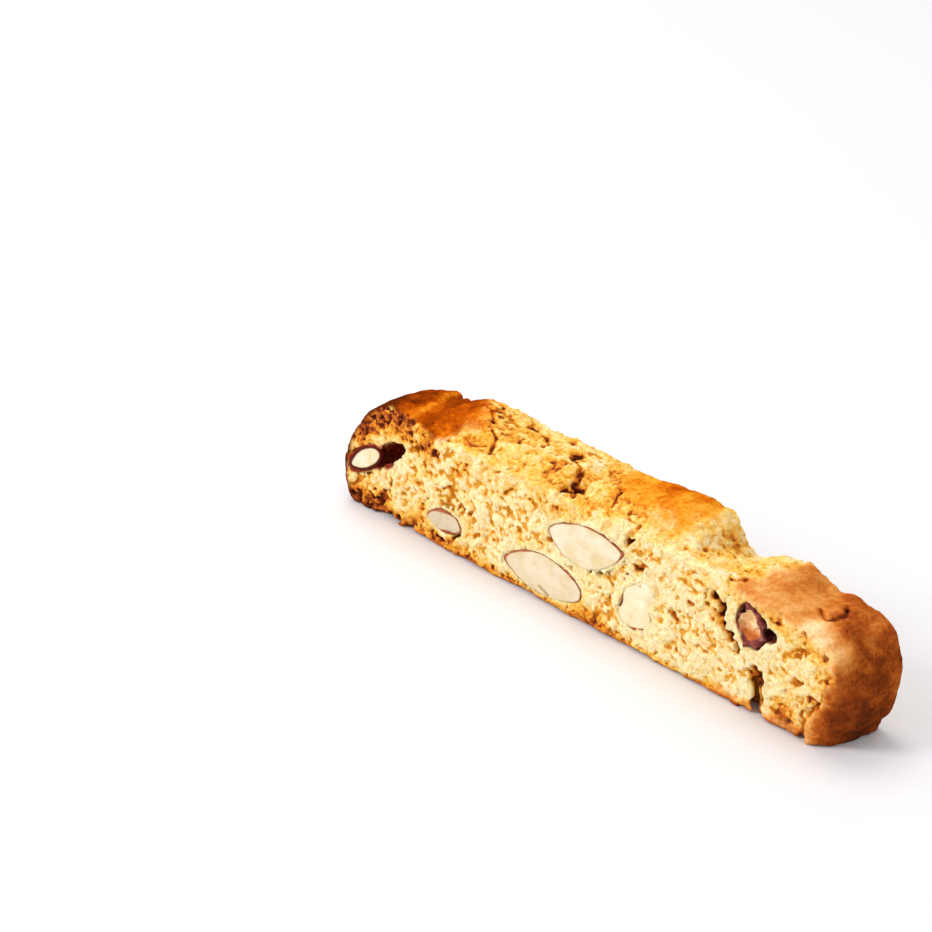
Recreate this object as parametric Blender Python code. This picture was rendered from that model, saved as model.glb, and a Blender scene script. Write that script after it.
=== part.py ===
"""An almond biscotto: one slice of a twice-baked loaf, lying level on its bottom crust.

Frame: metres, +Z up, origin at the middle of the flat bottom. +X runs along the slice, -Y looks out
of the front cut face and +Y out of the back one. The dough is one solid. Each almond that a cut
shows is a solid of its own, seated in an open pocket with a fitting gap round it.
All sizes below are in millimetres and are multiplied by MM where a mesh is made.
"""
import math
from collections import namedtuple

import bmesh
import bpy
import numpy as np
from mathutils import Matrix, Vector, noise

MM = 0.001

# The slice.
THICKNESS = 17.6          # between the mean planes of the two cut faces
LEFT_REACH = 63.9         # from the middle to each end, at mid-thickness
RIGHT_REACH = 65.1
LEFT_SLANT = 0.30         # the ends run slightly across, because the loaf is cut on the bias
RIGHT_SLANT = 0.11
CREST = 26.8              # height of the top over the left and middle
RIGHT_CREST = 23.6        # height over the right, past the broken step
STEP_X = 23.5             # where the crust plate breaks off
STEP_RUN = 3.0
LEFT_ROUND = (3.7, 4.5)   # superellipse powers of each end's profile, along and up
RIGHT_ROUND = (7.0, 6.0)
TUCK = 2.6                # how far each end draws in under itself
TUCK_HEIGHT = 7.0
PLAN_ROUND = 1.6          # how far the ends draw in towards the cut faces

# The front top edge, where the crust has crumbled off along the middle of the slice.
CHAMFER_DROP = 3.6
CHAMFER_DEPTH = 6.5
CHAMFER_SPAN = (-45.0, 26.0)

# The grid that carries the dough's skin.
CELLS_ALONG = 58
CELLS_ACROSS = 8
CELLS_UP = 10
END_ANGLE = 0.10          # leaves each end a low upright strip, so that no face comes to a point

CUT_RELIEF = 0.45         # height of the crumb's lumps on the cut faces
CRUST_RELIEF = 0.22
LUMP = 4.2                # their size
SEED_FRONT = Vector((3.1, 0.0, 7.7))
SEED_BACK = Vector((11.9, 5.0, 2.3))
SEED_TOP = Vector((6.4, 9.2, 0.6))

GAP = 0.34                # free space between an almond and its pocket
PROUD = 0.1               # how far an almond's cut stands out of the mean cut plane

Swell = namedtuple("Swell", "x y run depth rise")
SWELLS = (
    Swell(-55.5, 0.0, 6.5, 14.0, 3.3),     # outer lobe of the crust
    Swell(-40.0, 3.0, 7.5, 7.0, 1.6),      # inner lobe
    Swell(-48.0, 7.5, 2.2, 5.0, -2.4),     # the fold between the lobes
    Swell(-26.0, 1.0, 7.0, 6.0, -1.3),     # crumbled hollow behind the lobes
    Swell(-4.0, 4.0, 6.0, 6.0, -0.9),      # hollow before the crust plate
    Swell(14.5, 5.0, 8.0, 8.0, 1.7),       # the crust plate
    Swell(28.0, 8.0, 4.0, 6.0, -2.6),      # the drop past the plate
    Swell(38.5, 4.0, 5.5, 8.0, 1.6),       # the end crust's near swell
    Swell(48.0, 7.0, 3.0, 5.0, -1.0),      # a dip in its back edge
    Swell(56.0, 1.0, 5.0, 7.0, 0.6),
    Swell(-6.6, -3.6, 2.2, 2.0, -3.4),     # pit that a fallen crumb left
    Swell(-0.8, -3.2, 2.4, 2.0, 0.7),      # the lump beside it
)

# Tips are the powers of the outline at each end, where more is more pointed, and bend is how far
# the tips stand off the line through the middle. The forms are cut flush with the slice's face.
Almond = namedtuple("Almond", "name side x z length width depth angle sink taper tips bend skin")
ALMONDS = (
    Almond("almond_a", -1, -9.5, 5.8, 21.3, 8.5, 7.6, 0.6, 0.3, 0.04, (0.80, 0.50), -0.6, False),
    Almond("almond_b", -1, 0.2, 15.5, 20.0, 9.0, 7.8, 8.0, 0.4, -0.06, (0.72, 0.92), 1.3, False),
    Almond("almond_c", -1, -36.3, 6.0, 10.0, 5.0, 6.4, 1.0, 0.6, 0.05, (0.72, 0.60), -0.3, False),
    Almond("almond_d", -1, 14.6, 9.9, 12.0, 7.8, 6.0, -74.0, 1.1, 0.06, (0.50, 0.40), 0.0, False),
    Almond("almond_e", -1, -59.5, 10.3, 10.2, 4.9, 6.0, 36.0, 0.5, 0.05, (0.60, 0.52), 0.0, False),
    Almond("almond_f", -1, 41.9, 16.7, 8.4, 6.2, 7.4, -44.0, 1.9, 0.08, (0.50, 0.50), 0.0, True),
    Almond("almond_g", 1, 33.0, 13.6, 19.4, 9.0, 7.6, -14.0, 0.4, 0.06, (0.84, 0.54), 0.8, False),
    Almond("almond_h", 1, 6.5, 7.4, 17.6, 7.9, 7.0, 8.0, 0.5, -0.06, (0.60, 0.86), -0.6, False),
    Almond("almond_i", 1, -20.5, 15.6, 20.2, 9.3, 7.6, 19.0, 0.3, 0.06, (0.86, 0.62), 0.7, False),
    Almond("almond_j", 1, -43.0, 8.6, 10.6, 5.6, 6.4, -35.0, 0.6, 0.06, (0.55, 0.75), 0.3, False),
    Almond("almond_k", 1, 51.5, 9.0, 8.4, 6.2, 6.8, 48.0, 1.5, 0.06, (0.50, 0.50), 0.0, True),
)
ALMOND_RINGS = 9
ALMOND_SIDES = 14

# Hollows in the cut faces beside an almond, where it has shrunk or broken away.
ROUND_TIPS = (0.5, 0.5)
HOLLOWS = (
    Almond("hollow_e", -1, -53.0, 14.0, 8.4, 4.2, 12.8, 34.0, 0.0, 0.0, ROUND_TIPS, 0.0, False),
    Almond("hollow_f_tip", -1, 45.6, 16.8, 2.6, 2.4, 12.0, 0.0, 0.0, 0.0, ROUND_TIPS, 0.0, False),
    Almond("hollow_f", -1, 42.7, 16.7, 10.8, 8.2, 5.2, -42.0, 0.0, 0.0, ROUND_TIPS, 0.0, False),
    Almond("hollow_k", 1, 51.5, 9.0, 10.2, 8.0, 5.2, 48.0, 0.0, 0.0, ROUND_TIPS, 0.0, False),
)

# The crack that runs up from a notch in the bottom edge: place, half width and depth of each section.
Section = namedtuple("Section", "x z half_width depth")
CRACK = (
    Section(46.6, -1.0, 1.7, 7.5),
    Section(45.9, 2.6, 1.4, 6.5),
    Section(45.0, 6.2, 1.0, 4.5),
    Section(41.4, 9.6, 0.55, 3.0),
    Section(38.4, 13.0, 0.65, 3.2),
    Section(35.6, 16.4, 0.6, 3.0),
    Section(32.6, 19.4, 0.35, 1.6),
)
CUTTER_REACH = 3.0        # how far a cutter stands out of the face that it cuts

# Linear colour, roughness.
DOUGH_FINISH = ((0.72, 0.42, 0.14), 0.75)
ALMOND_FINISH = ((0.88, 0.77, 0.56), 0.5)
SKIN_FINISH = ((0.22, 0.07, 0.035), 0.6)


def clear_scene():
    for obj in list(bpy.data.objects):
        bpy.data.objects.remove(obj, do_unlink=True)


def smooth(low, high, value):
    """Smooth step from 0 at low to 1 at high."""
    part = min(max((value - low) / (high - low), 0.0), 1.0)
    return part * part * (3.0 - 2.0 * part)


def material(name, finish):
    colour, roughness = finish
    mat = bpy.data.materials.new(name)
    mat.use_nodes = True
    shader = mat.node_tree.nodes["Principled BSDF"]
    shader.inputs["Base Color"].default_value = (*colour, 1.0)
    shader.inputs["Roughness"].default_value = roughness
    shader.inputs["Metallic"].default_value = 0.0
    mat.diffuse_color = (*colour, 1.0)
    return mat


def crest_height(x, y):
    """Height of the top over a point, before the ends round it off."""
    height = CREST + (RIGHT_CREST - CREST) * smooth(STEP_X - STEP_RUN, STEP_X + STEP_RUN, x)
    start, end = CHAMFER_SPAN
    along = smooth(start - 4.0, start + 4.0, x) * (1.0 - smooth(end - 6.0, end + 2.0, x))
    front = -0.5 * THICKNESS
    height -= CHAMFER_DROP * along * (1.0 - smooth(front, front + CHAMFER_DEPTH, y))
    for swell in SWELLS:
        across = ((x - swell.x) / swell.run) ** 2 + ((y - swell.y) / swell.depth) ** 2
        height += swell.rise * math.exp(-across)
    return height


def outline(share):
    """Point on the slice's unit profile: share 0 is the left end, 1 the right one."""
    angle = math.pi - END_ANGLE - share * (math.pi - 2.0 * END_ANGLE)
    along_power, up_power = LEFT_ROUND if share < 0.5 else RIGHT_ROUND
    along = math.copysign(abs(math.cos(angle)) ** (2.0 / along_power), math.cos(angle))
    return along, math.sin(angle) ** (2.0 / up_power)


def even_stations(count):
    """Stations spaced evenly by arc length along the profile, as (along, up) pairs from 0 to 1."""
    fine = [outline(step / 4000) for step in range(4001)]
    half_length = 0.5 * (LEFT_REACH + RIGHT_REACH)
    points = np.array(fine)
    runs = np.hypot(np.diff(points[:, 0]) * half_length, np.diff(points[:, 1]) * CREST)
    walked = np.concatenate([[0.0], np.cumsum(runs)])
    marks = np.linspace(0.0, walked[-1], count + 1)
    along = np.interp(marks, walked, points[:, 0])
    return list(zip(along, np.interp(marks, walked, points[:, 1])))


def dough_point(station, across, up):
    """Place of a point of the dough: across is -1 front to 1 back, up is 0 bottom to 1 top."""
    along, rise = station
    y = 0.5 * THICKNESS * across
    left = along < 0.0
    reach = LEFT_REACH if left else RIGHT_REACH
    end = abs(along) ** 8
    x = along * (reach - PLAN_ROUND * end * abs(across) ** 5)
    x += (LEFT_SLANT if left else RIGHT_SLANT) * y * end
    z = crest_height(x, y) * rise * up
    x -= math.copysign(TUCK * end * (1.0 - smooth(0.0, TUCK_HEIGHT, z)), along)
    return Vector((x, y, z))


def lumps(place, seed):
    """Crumb relief between about -1 and 1."""
    return noise.noise(place / LUMP + seed) * 1.3 + noise.noise(place / (0.45 * LUMP) + seed) * 0.5


def roughen(place, across, up):
    """Moves a skin point by the crumb's lumps on a cut face, or the crust's swells on the top."""
    moved = place.copy()
    if abs(across) == 1.0:
        seed = SEED_FRONT if across < 0.0 else SEED_BACK
        edge = smooth(0.0, 3.0, place.z)
        moved.y += across * CUT_RELIEF * lumps(place, seed) * edge
    if up == 1.0:
        moved.z += CRUST_RELIEF * lumps(place, SEED_TOP)
    return moved


def build_dough_skin(bm):
    """The six sides of a grid box, shaped into the slice: bottom, top, two cuts and two ends."""
    stations = even_stations(CELLS_ALONG)
    verts = {}

    def vert(i, j, k):
        if (i, j, k) not in verts:
            across = 2.0 * j / CELLS_ACROSS - 1.0
            up = k / CELLS_UP
            place = roughen(dough_point(stations[i], across, up), across, up)
            verts[i, j, k] = bm.verts.new(place * MM)
        return verts[i, j, k]

    def sheet(columns, rows, corner):
        for a in range(columns):
            for b in range(rows):
                bm.faces.new([vert(*corner(a, b)), vert(*corner(a + 1, b)),
                              vert(*corner(a + 1, b + 1)), vert(*corner(a, b + 1))])

    sheet(CELLS_ALONG, CELLS_UP, lambda a, b: (a, 0, b))
    sheet(CELLS_UP, CELLS_ALONG, lambda a, b: (b, CELLS_ACROSS, a))
    sheet(CELLS_ALONG, CELLS_ACROSS, lambda a, b: (a, b, CELLS_UP))
    sheet(CELLS_ACROSS, CELLS_ALONG, lambda a, b: (b, a, 0))
    sheet(CELLS_UP, CELLS_ACROSS, lambda a, b: (0, b, a))
    sheet(CELLS_ACROSS, CELLS_UP, lambda a, b: (CELLS_ALONG, a, b))
    bmesh.ops.recalc_face_normals(bm, faces=bm.faces)


def new_object(name, bm, mat=None):
    mesh = bpy.data.meshes.new(name)
    bm.to_mesh(mesh)
    bm.free()
    obj = bpy.data.objects.new(name, mesh)
    bpy.context.scene.collection.objects.link(obj)
    if mat is not None:
        mesh.materials.append(mat)
        mesh.shade_smooth()
        mesh.set_sharp_from_angle(angle=math.radians(50.0))
    return obj


def nut_form(bm, nut, grow):
    """A closed almond form about its own middle: tips along X, width up Z, depth along Y."""
    half = 0.5 * nut.length + grow
    ends = [bm.verts.new((sign * half * MM, 0.0, nut.bend * MM)) for sign in (-1, 1)]
    rings = []
    for ring in range(1, ALMOND_RINGS + 1):
        share = -math.cos(math.pi * ring / (ALMOND_RINGS + 1))
        power = nut.tips[0] + (nut.tips[1] - nut.tips[0]) * 0.5 * (1.0 + share)
        girth = (1.0 - share * share) ** power * (1.0 + nut.taper * share)
        loop = []
        for side in range(ALMOND_SIDES):
            turn = 2.0 * math.pi * side / ALMOND_SIDES
            y = math.cos(turn) * (0.5 * nut.depth * girth + grow)
            z = math.sin(turn) * (0.5 * nut.width * girth + grow) + nut.bend * share * share
            loop.append(bm.verts.new((share * half * MM, y * MM, z * MM)))
        rings.append(loop)
    for side in range(ALMOND_SIDES):
        after = (side + 1) % ALMOND_SIDES
        bm.faces.new((ends[0], rings[0][after], rings[0][side]))
        bm.faces.new((ends[1], rings[-1][side], rings[-1][after]))
        for first, second in zip(rings, rings[1:]):
            bm.faces.new((first[side], first[after], second[after], second[side]))
    bmesh.ops.recalc_face_normals(bm, faces=bm.faces)


def seat(bm, side, x, z, angle, sink):
    """Turns a form in the cut plane and sets it into a cut face, its middle sunk below the plane."""
    y = side * (0.5 * THICKNESS - sink)
    turn = Matrix.Rotation(math.radians(-angle), 4, "Y")
    place = Matrix.Translation(Vector((x, y, z)) * MM)
    bmesh.ops.transform(bm, matrix=place @ turn, verts=bm.verts)


def cut_flush(bm, side):
    """Cuts a form off just outside the cut plane, as the knife does, and closes it."""
    plane = Vector((0.0, side * (0.5 * THICKNESS + PROUD) * MM, 0.0))
    everything = bm.verts[:] + bm.edges[:] + bm.faces[:]
    cut = bmesh.ops.bisect_plane(bm, geom=everything, plane_co=plane,
                                 plane_no=(0.0, side, 0.0), clear_outer=True)
    rim = [part for part in cut["geom_cut"] if isinstance(part, bmesh.types.BMEdge)]
    bmesh.ops.holes_fill(bm, edges=rim, sides=0)
    bmesh.ops.recalc_face_normals(bm, faces=bm.faces)


def build_almond(nut, mats):
    bm = bmesh.new()
    nut_form(bm, nut, 0.0)
    seat(bm, nut.side, nut.x, nut.z, nut.angle, nut.sink)
    cut_flush(bm, nut.side)
    return new_object(nut.name, bm, mats["skin"] if nut.skin else mats["almond"])


def cutter(name, bm, target):
    """A hidden guide object, subtracted from the target."""
    obj = new_object(name, bm)
    obj.hide_render = True
    obj.display_type = "WIRE"
    boolean = target.modifiers.new(name, "BOOLEAN")
    boolean.operation = "DIFFERENCE"
    boolean.solver = "EXACT"
    boolean.object = obj


def cut_pocket(nut, dough):
    bm = bmesh.new()
    nut_form(bm, nut, GAP)
    seat(bm, nut.side, nut.x, nut.z, nut.angle, nut.sink)
    cutter("pocket_" + nut.name, bm, dough)


def cut_hollow(hollow, dough):
    bm = bmesh.new()
    nut_form(bm, hollow, 0.0)
    seat(bm, hollow.side, hollow.x, hollow.z, hollow.angle, hollow.sink)
    cutter(hollow.name, bm, dough)


def cut_crack(dough):
    """A wedge lofted along the crack, widest where it opens in the bottom edge."""
    bm = bmesh.new()
    front = -0.5 * THICKNESS
    loops = []
    for index, section in enumerate(CRACK):
        before = CRACK[max(index - 1, 0)]
        after = CRACK[min(index + 1, len(CRACK) - 1)]
        run = Vector((after.x - before.x, 0.0, after.z - before.z)).normalized()
        aside = Vector((run.z, 0.0, -run.x)) * section.half_width
        middle = Vector((section.x, front, section.z))
        outer = Vector((0.0, -CUTTER_REACH, 0.0))
        inner = Vector((0.0, section.depth, 0.0))
        corners = (middle + outer - aside, middle + outer + aside,
                   middle + inner + 0.35 * aside, middle + inner - 0.35 * aside)
        loops.append([bm.verts.new(corner * MM) for corner in corners])
    for first, second in zip(loops, loops[1:]):
        for corner in range(4):
            after = (corner + 1) % 4
            bm.faces.new((first[corner], first[after], second[after], second[corner]))
    bm.faces.new(loops[0][::-1])
    bm.faces.new(loops[-1])
    bmesh.ops.recalc_face_normals(bm, faces=bm.faces)
    cutter("crack", bm, dough)


def build_dough(mat):
    bm = bmesh.new()
    build_dough_skin(bm)
    dough = new_object("dough", bm, mat)
    for nut in ALMONDS:
        cut_pocket(nut, dough)
    for hollow in HOLLOWS:
        cut_hollow(hollow, dough)
    cut_crack(dough)
    return dough


def main():
    clear_scene()
    mats = {
        "dough": material("baked_dough", DOUGH_FINISH),
        "almond": material("almond", ALMOND_FINISH),
        "skin": material("almond_skin", SKIN_FINISH),
    }
    root = bpy.data.objects.new("biscotto", None)
    bpy.context.scene.collection.objects.link(root)
    pieces = [build_dough(mats["dough"])]
    pieces += [build_almond(nut, mats) for nut in ALMONDS]
    for piece in pieces:
        piece.parent = root


main()
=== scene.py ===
"""Looks of an almond biscotto: broken crumb, baked crust and the cut almonds, round the CAD frame.

The dough and each almond are shaped as distance fields that start from the CAD solids. Crumb, pores,
cracks and the plates of crust are carved into the dough's field, which is then turned back into a mesh.
Fields are in millimetres, in the CAD's frame; meshes and everything else in the scene are in metres.
"""
import math
from collections import namedtuple
from itertools import product

import bpy
import numpy as np
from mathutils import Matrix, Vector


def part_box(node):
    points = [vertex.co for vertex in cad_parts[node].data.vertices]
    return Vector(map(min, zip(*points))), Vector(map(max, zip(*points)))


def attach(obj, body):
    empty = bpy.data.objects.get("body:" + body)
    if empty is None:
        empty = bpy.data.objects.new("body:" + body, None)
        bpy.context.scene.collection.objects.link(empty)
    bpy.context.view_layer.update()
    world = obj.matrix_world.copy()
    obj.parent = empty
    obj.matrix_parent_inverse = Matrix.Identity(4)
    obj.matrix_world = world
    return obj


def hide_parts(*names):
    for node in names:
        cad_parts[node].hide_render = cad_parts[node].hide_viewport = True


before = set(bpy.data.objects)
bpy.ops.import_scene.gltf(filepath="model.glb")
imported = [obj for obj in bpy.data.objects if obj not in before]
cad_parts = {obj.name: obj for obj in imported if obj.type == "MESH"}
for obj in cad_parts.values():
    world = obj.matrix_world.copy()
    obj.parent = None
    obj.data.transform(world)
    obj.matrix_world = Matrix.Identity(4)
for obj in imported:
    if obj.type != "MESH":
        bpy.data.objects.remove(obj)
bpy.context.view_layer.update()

import openvdb as vdb
from mathutils import Matrix, Vector

MM = 0.001

DOUGH_CELL = 0.27         # mm, the dough field's cells
ALMOND_CELL = 0.16
PAD = 2.4                 # free field round a solid, and the reach of its distances
DOUGH_TRIANGLES = 195000
CUT_PLANE = 8.8           # mean distance of each cut face from the middle
ALMONDS = sorted(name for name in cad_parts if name.startswith("almond"))


# -------- fields

class Grid:
    """A box of cubic cells round some solid. x, y and z are the cells' places, shaped to broadcast."""

    def __init__(self, low, high, cell):
        self.cell = cell
        self.start = tuple(int(n) for n in np.floor((np.array(low) - PAD) / cell))
        stop = np.ceil((np.array(high) + PAD) / cell)
        self.shape = tuple(int(n) for n in stop - self.start + 1)
        self.axes = [(first + np.arange(count)) * cell for first, count in zip(self.start, self.shape)]
        axes = (axis.astype(np.float32) for axis in self.axes)
        self.x, self.y, self.z = np.meshgrid(*axes, indexing="ij", sparse=True)

    def sample(self, field, points):
        """Value of a field at each of some points, between its cells."""
        places = np.clip(points / self.cell - self.start, 0.0, np.array(self.shape) - 1.001)
        base = places.astype(int)
        part = (places - base).astype(np.float32)
        total = np.zeros(len(points), np.float32)
        for ahead in product((0, 1), repeat=3):
            weight = np.prod(np.where(ahead, part, 1.0 - part), axis=1)
            total += weight * field[tuple((base + ahead).T)]
        return total


def step(low, high, value):
    """Smooth step from 0 at low to 1 at high."""
    part = np.clip((value - low) / (high - low), 0.0, 1.0)
    return part * part * (3.0 - 2.0 * part)


def fall(low, high, value):
    """Smooth step from 1 at low to 0 at high."""
    return 1.0 - step(low, high, value)


def bell(value, middle, width):
    """1 at the middle, falling off smoothly to both sides."""
    return np.exp(-((value - middle) / width) ** 2)


def mix(first, second, share):
    """The first value at share 0, the second at share 1."""
    return first + (second - first) * share


def node_distance(node, grid):
    """Distance to a CAD node's surface at each cell, negative inside it."""
    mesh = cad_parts[node].data
    mesh.calc_loop_triangles()
    points = np.empty(len(mesh.vertices) * 3, np.float32)
    mesh.vertices.foreach_get("co", points)
    corners = np.empty(len(mesh.loop_triangles) * 3, np.int32)
    mesh.loop_triangles.foreach_get("vertices", corners)
    level = vdb.FloatGrid.createLevelSetFromPolygons(
        points.reshape(-1, 3) / MM, triangles=corners.reshape(-1, 3).astype(np.uint32),
        transform=vdb.createLinearTransform(voxelSize=grid.cell), halfWidth=PAD / grid.cell)
    field = np.empty(grid.shape, np.float32)
    level.copyToArray(field, ijk=grid.start)
    return field


def spline_table(axis, cell):
    """Cubic B-spline weights of the lattice points round each place on an axis, as a matrix."""
    places = axis / cell
    base = np.floor(places).astype(int)
    part = places - base
    first = base[0] - 1
    weights = ((1.0 - part) ** 3, 3.0 * part ** 3 - 6.0 * part ** 2 + 4.0,
               -3.0 * part ** 3 + 3.0 * part ** 2 + 3.0 * part + 1.0, part ** 3)
    table = np.zeros((len(axis), base[-1] - first + 3))
    rows = np.arange(len(axis))
    for offset, weight in enumerate(weights):
        table[rows, base - 1 + offset - first] += weight / 6.0
    return table.astype(np.float32)


def noise(grid, cell, seed):
    """Smooth noise with mean 0 and spread 1. Its grain is cell mm across, one number or three."""
    tables = [spline_table(axis, size) for axis, size in zip(grid.axes, np.broadcast_to(cell, 3))]
    lattice = np.random.default_rng(seed).standard_normal([t.shape[1] for t in tables])
    field = np.tensordot(tables[0], lattice.astype(np.float32), (1, 0))
    field = np.matmul(tables[1], field)
    field = np.matmul(field, tables[2].T)
    return field / field.std()


def drawn_out(field, grid, run, rise):
    """A noise smeared to both sides along a line in the x-z plane."""
    shift = (round(run / grid.cell), 0, round(rise / grid.cell))
    back = tuple(-count for count in shift)
    total = field + np.roll(field, shift, (0, 1, 2)) + np.roll(field, back, (0, 1, 2))
    return total / total.std()


def grain(grid, cell, seed):
    """Noise that follows the crumb's own grain: slanted in the left half, nearly level in the right."""
    plain = noise(grid, cell, seed)
    slanted = drawn_out(plain, grid, 0.75 * cell, 0.40 * cell)
    level = drawn_out(plain, grid, 0.85 * cell, -0.10 * cell)
    return mix(slanted, level, step(6.0, 26.0, grid.x))


def crease(field, width):
    """1 on the lines where a noise crosses zero, falling off on both sides so that lumps stay between."""
    return np.clip(1.0 - np.abs(field) / width, 0.0, 1.0) ** 2


def blurred(field, grid, spread):
    """A field smoothed over spread mm."""
    for axis, places in enumerate(grid.axes):
        table = np.exp(-0.5 * ((places[:, None] - places[None, :]) / spread) ** 2)
        table = (table / table.sum(1, keepdims=True)).astype(np.float32)
        field = np.moveaxis(np.tensordot(table, field, (1, axis)), 0, axis)
    return np.ascontiguousarray(field)


# -------- meshes

def biggest_island(quads, count):
    """Which of a mesh's points belong to its biggest connected part."""
    labels = np.arange(count)
    edges = np.concatenate([quads[:, [0, 1]], quads[:, [1, 2]], quads[:, [2, 3]]])
    while True:
        lowest = np.minimum(labels[edges[:, 0]], labels[edges[:, 1]])
        before = labels.copy()
        np.minimum.at(labels, before[edges[:, 0]], lowest)
        np.minimum.at(labels, before[edges[:, 1]], lowest)
        labels = labels[labels]
        if np.array_equal(labels, before):
            break
    names, counts = np.unique(labels, return_counts=True)
    return labels == names[counts.argmax()]


def surface_mesh(field, grid):
    """Points and quads of a field's zero surface, facing out, without stray islands."""
    level = vdb.FloatGrid(PAD)
    level.copyFromArray(np.ascontiguousarray(field), ijk=grid.start)
    level.transform = vdb.createLinearTransform(voxelSize=grid.cell)
    points, quads = level.convertToQuads(isovalue=0.0)
    points = np.array(points, np.float64)
    quads = np.array(quads, np.int64)
    kept = biggest_island(quads, len(points))
    quads = quads[kept[quads[:, 0]]]
    index = np.cumsum(kept) - 1
    points, quads = points[kept], index[quads]
    a, b, c, d = (points[quads[:, k]] for k in range(4))
    volume = np.einsum("ij,ij->i", a, np.cross(b - a, c - a) + np.cross(c - a, d - a)).sum()
    return points, quads if volume > 0.0 else quads[:, ::-1]


def thin_out(obj, ratio):
    """Leaves an object that share of its triangles."""
    dense = obj.data
    obj.modifiers.new("thin", "DECIMATE").ratio = ratio
    ready = obj.evaluated_get(bpy.context.evaluated_depsgraph_get())
    obj.data = bpy.data.meshes.new_from_object(ready)
    obj.modifiers.clear()
    bpy.data.meshes.remove(dense)
    obj.data.name = obj.name


def placed(name, data):
    """A new object of the scene."""
    obj = bpy.data.objects.new(name, data)
    bpy.context.scene.collection.objects.link(obj)
    return obj


def mesh_object(name, points, faces, triangles=None):
    """A smooth-shaded object from points in mm, thinned to a number of triangles if one is given."""
    mesh = bpy.data.meshes.new(name)
    mesh.vertices.add(len(points))
    mesh.vertices.foreach_set("co", (points * MM).ravel().astype(np.float32))
    sides = faces.shape[1]
    mesh.loops.add(faces.size)
    mesh.loops.foreach_set("vertex_index", faces.ravel().astype(np.int32))
    mesh.polygons.add(len(faces))
    mesh.polygons.foreach_set("loop_start", np.arange(0, faces.size, sides, dtype=np.int32))
    mesh.update(calc_edges=True)
    mesh.validate()
    obj = placed(name, mesh)
    if triangles and len(faces) * 2 > triangles:
        thin_out(obj, triangles / (len(faces) * 2))
    obj.data.shade_smooth()
    return obj


def mesh_points(obj):
    """An object's points, in mm."""
    points = np.empty(len(obj.data.vertices) * 3, np.float32)
    obj.data.vertices.foreach_get("co", points)
    return points.reshape(-1, 3).astype(np.float64) / MM


def set_mask(obj, name, values):
    """Stores values from 0 to 1, or a single one, on an object's points."""
    layer = obj.data.attributes.new(name, "FLOAT", "POINT")
    values = np.broadcast_to(values, len(obj.data.vertices))
    layer.data.foreach_set("value", np.clip(values, 0.0, 1.0).astype(np.float32))


# -------- marks on the faces

Spot = namedtuple("Spot", "u v length width angle depth tone", defaults=(0.0, 0.0))
Stroke = namedtuple("Stroke", "points width depth tone")

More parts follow.
